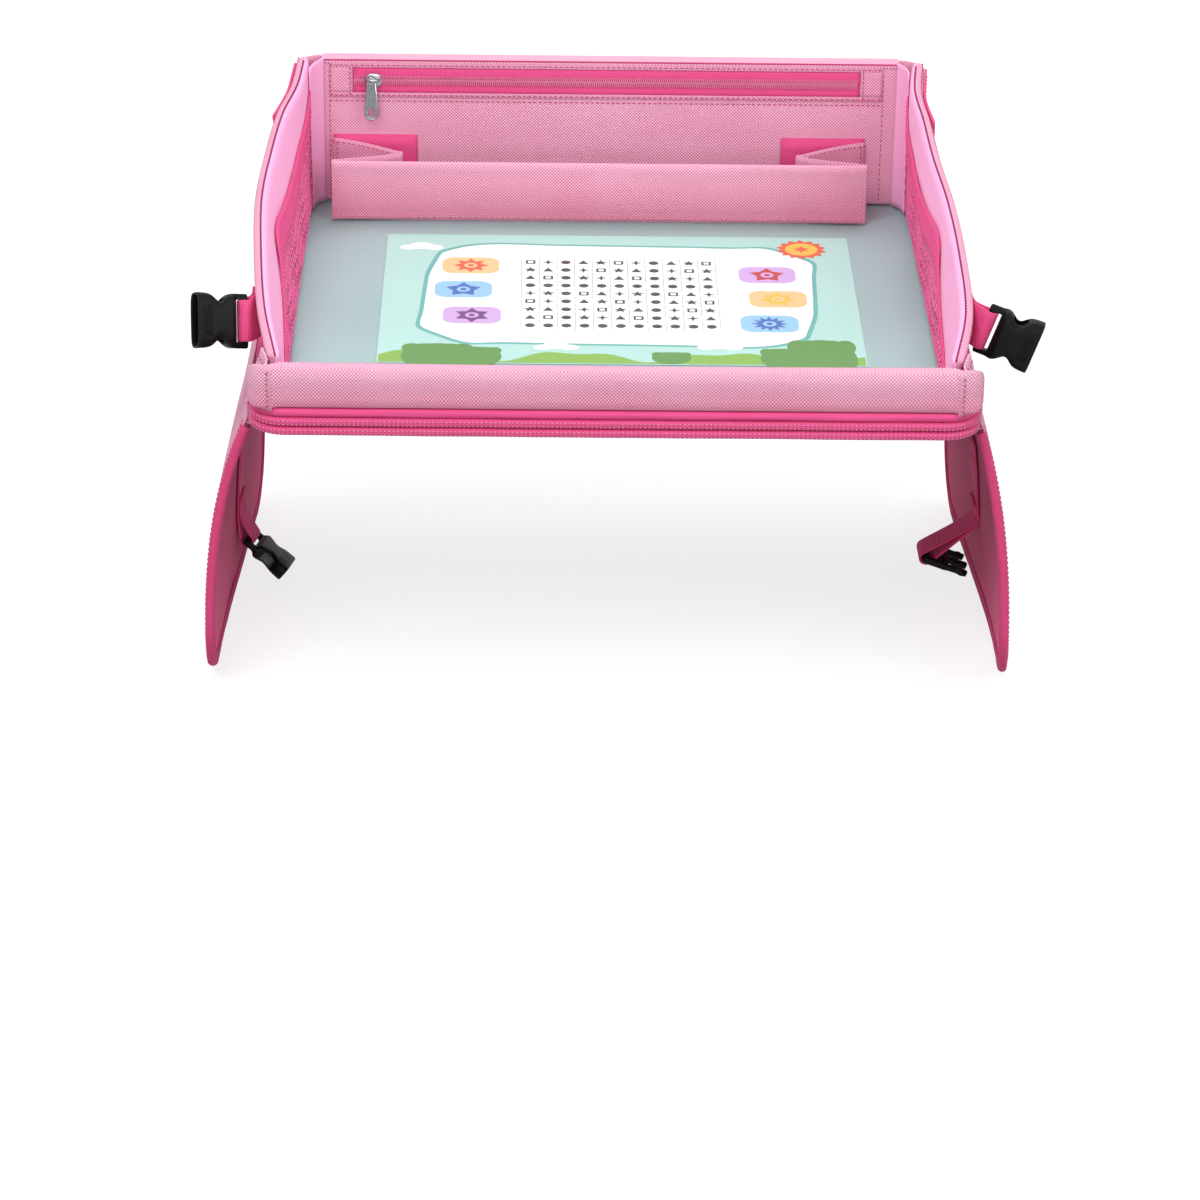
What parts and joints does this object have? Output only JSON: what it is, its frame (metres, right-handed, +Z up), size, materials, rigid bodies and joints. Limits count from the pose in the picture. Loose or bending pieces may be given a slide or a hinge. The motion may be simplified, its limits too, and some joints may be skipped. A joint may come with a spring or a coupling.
{
  "type": "kids travel tray",
  "caption": "Padded lap tray for a child's seat, with folding walls, mesh and zip pockets, hanging flaps, buckles and a clear cover over a loose activity sheet.",
  "frame": {"origin": "centre of the footprint, on the surface that the two hanging flaps stand on", "axes": "+X to the right along the longest side, +Y towards the back wall, +Z up"},
  "size_m": [0.5098, 0.35, 0.3055],
  "materials": {
    "light_pink_cloth": "matte",
    "hot_pink_cloth": "matte",
    "hot_pink_webbing": "matte",
    "pink_mesh": "matte",
    "shade_pink_cloth": "matte",
    "foam": "matte",
    "padded_board": "matte",
    "stiff_board": "matte",
    "grey_liner": "satin",
    "clear_film": "gloss",
    "paper": "matte",
    "zip_teeth": "satin",
    "silver_metal": "satin",
    "black_plastic": "satin"
  },
  "bodies": {
    "base": {"base_bottom_cover": "shade_pink_cloth", "base_board": "stiff_board", "base_foam": "foam", "drawing_liner": "grey_liner", "clear_film": "clear_film", "piping_band": "hot_pink_cloth", "upper_edge_binding": "hot_pink_cloth", "lower_edge_binding": "hot_pink_cloth", "front_lip_cover": "light_pink_cloth", "front_lip_foam": "foam", "left_corner_gusset": "light_pink_cloth", "right_corner_gusset": "light_pink_cloth", "left_flap_seam": "hot_pink_cloth", "right_flap_seam": "hot_pink_cloth"},
    "sheet": {"activity_sheet": "paper"},
    "back_wall": {"back_wall_cover": "light_pink_cloth", "back_wall_board": "padded_board", "zipper_tape": "hot_pink_cloth", "upper_zip_teeth": "zip_teeth", "lower_zip_teeth": "zip_teeth", "left_zip_patch": "light_pink_cloth", "right_zip_patch": "light_pink_cloth", "left_pocket_strip": "hot_pink_cloth", "right_pocket_strip": "hot_pink_cloth", "left_pocket_pleat": "light_pink_cloth", "right_pocket_pleat": "light_pink_cloth", "left_corner_web": "light_pink_cloth", "right_corner_web": "light_pink_cloth"},
    "pocket": {"pocket_front": "light_pink_cloth"},
    "slider": {"zipper_slider": "silver_metal"},
    "pull": {"zipper_pull": "silver_metal"},
    "left_tab": {"left_corner_tab": "hot_pink_cloth"},
    "left_wall": {"left_wall_cover": "light_pink_cloth", "left_wall_board": "padded_board", "left_net": "pink_mesh", "left_net_band": "hot_pink_webbing", "left_wall_strap": "hot_pink_webbing"},
    "left_wall_buckle": {"left_wall_socket": "black_plastic"},
    "left_flap": {"left_flap_outer_face": "light_pink_cloth", "left_flap_board": "stiff_board", "left_flap_inner_face": "shade_pink_cloth", "left_flap_binding": "hot_pink_cloth", "left_flap_strap": "hot_pink_webbing"},
    "right_tab": {"right_corner_tab": "hot_pink_cloth"},
    "right_wall": {"right_wall_cover": "light_pink_cloth", "right_wall_board": "padded_board", "right_net": "pink_mesh", "right_net_band": "hot_pink_webbing", "right_wall_strap": "hot_pink_webbing"},
    "right_wall_buckle": {"right_wall_socket": "black_plastic"},
    "right_flap": {"right_flap_outer_face": "light_pink_cloth", "right_flap_board": "stiff_board", "right_flap_inner_face": "shade_pink_cloth", "right_flap_binding": "hot_pink_cloth", "right_flap_strap": "hot_pink_webbing"},
    "left_flap_buckle": {"left_flap_socket": "black_plastic"},
    "right_flap_buckle": {"right_flap_plug": "black_plastic"}
  },
  "joints": [
    {"name": "sheet_slide", "type": "slide", "parent": "base", "child": "sheet", "axis": [0, 1, 0], "range_m": [-0.03, 0.03]},
    {"name": "left_wall_fold", "type": "hinge", "parent": "base", "child": "left_wall", "pos_m": [-0.195, 0, 0.2068], "axis": [0, 1, 0], "range_deg": [0, 92], "deforming": ["left_corner_web", "left_corner_tab"]},
    {"name": "right_wall_fold", "type": "hinge", "parent": "base", "child": "right_wall", "pos_m": [0.195, 0, 0.2068], "axis": [0, -1, 0], "range_deg": [0, 86], "deforming": ["right_corner_web", "right_corner_tab"]},
    {"name": "back_wall_fold", "type": "hinge", "parent": "base", "child": "back_wall", "pos_m": [0, 0.1625, 0.2093], "axis": [-1, 0, 0], "range_deg": [-90, 0], "deforming": ["pocket_front", "left_pocket_pleat", "right_pocket_pleat", "left_corner_web", "right_corner_web", "left_corner_tab", "right_corner_tab"]},
    {"name": "pocket_flatten", "type": "slide", "parent": "back_wall", "child": "pocket", "axis": [0, -1, 0], "range_m": [-0.027, 0]},
    {"name": "zip_slide", "type": "slide", "parent": "back_wall", "child": "slider", "axis": [1, 0, 0], "range_m": [0, 0.31]},
    {"name": "pull_swing", "type": "hinge", "parent": "slider", "child": "pull", "pos_m": [-0.1555, 0.1577, 0.2868], "axis": [-1, 0, 0], "range_deg": [0, 120]},
    {"name": "left_tab_peel", "type": "hinge", "parent": "back_wall", "child": "left_tab", "pos_m": [-0.20405, 0.1547, 0.26666], "axis": [0, 0, -1], "range_deg": [0, 100]},
    {"name": "right_tab_peel", "type": "hinge", "parent": "back_wall", "child": "right_tab", "pos_m": [0.20405, 0.1547, 0.26666], "axis": [0, 0, 1], "range_deg": [0, 100]},
    {"name": "left_wall_buckle_swing", "type": "hinge", "parent": "left_wall", "child": "left_wall_buckle", "pos_m": [-0.22101, -0.117, 0.2328], "axis": [0.0276, -0.455, -0.8901], "range_deg": [-35, 35]},
    {"name": "right_wall_buckle_swing", "type": "hinge", "parent": "right_wall", "child": "right_wall_buckle", "pos_m": [0.22092, -0.117, 0.2328], "axis": [0.3125, -0.0551, 0.9483], "range_deg": [-35, 30]},
    {"name": "left_flap_fold", "type": "hinge", "parent": "base", "child": "left_flap", "pos_m": [-0.21805, 0, 0.1815], "axis": [0, 1, 0], "range_deg": [-80, 95]},
    {"name": "right_flap_fold", "type": "hinge", "parent": "base", "child": "right_flap", "pos_m": [0.21805, 0, 0.1815], "axis": [0, 1, 0], "range_deg": [-95, 80]},
    {"name": "left_flap_buckle_swing", "type": "hinge", "parent": "left_flap", "child": "left_flap_buckle", "pos_m": [-0.23041, 0.00741, 0.0309], "axis": [0.1541, 0.9796, -0.1292], "range_deg": [-30, 20]},
    {"name": "right_flap_buckle_swing", "type": "hinge", "parent": "right_flap", "child": "right_flap_buckle", "pos_m": [0.20515, 0.00579, 0.02444], "axis": [0, 1, 0], "range_deg": [-4, 16]}
  ],
  "couplings": [
    {"joint": "pocket_flatten", "follows": "back_wall_fold", "m_per_rad": 0.017189}
  ]
}
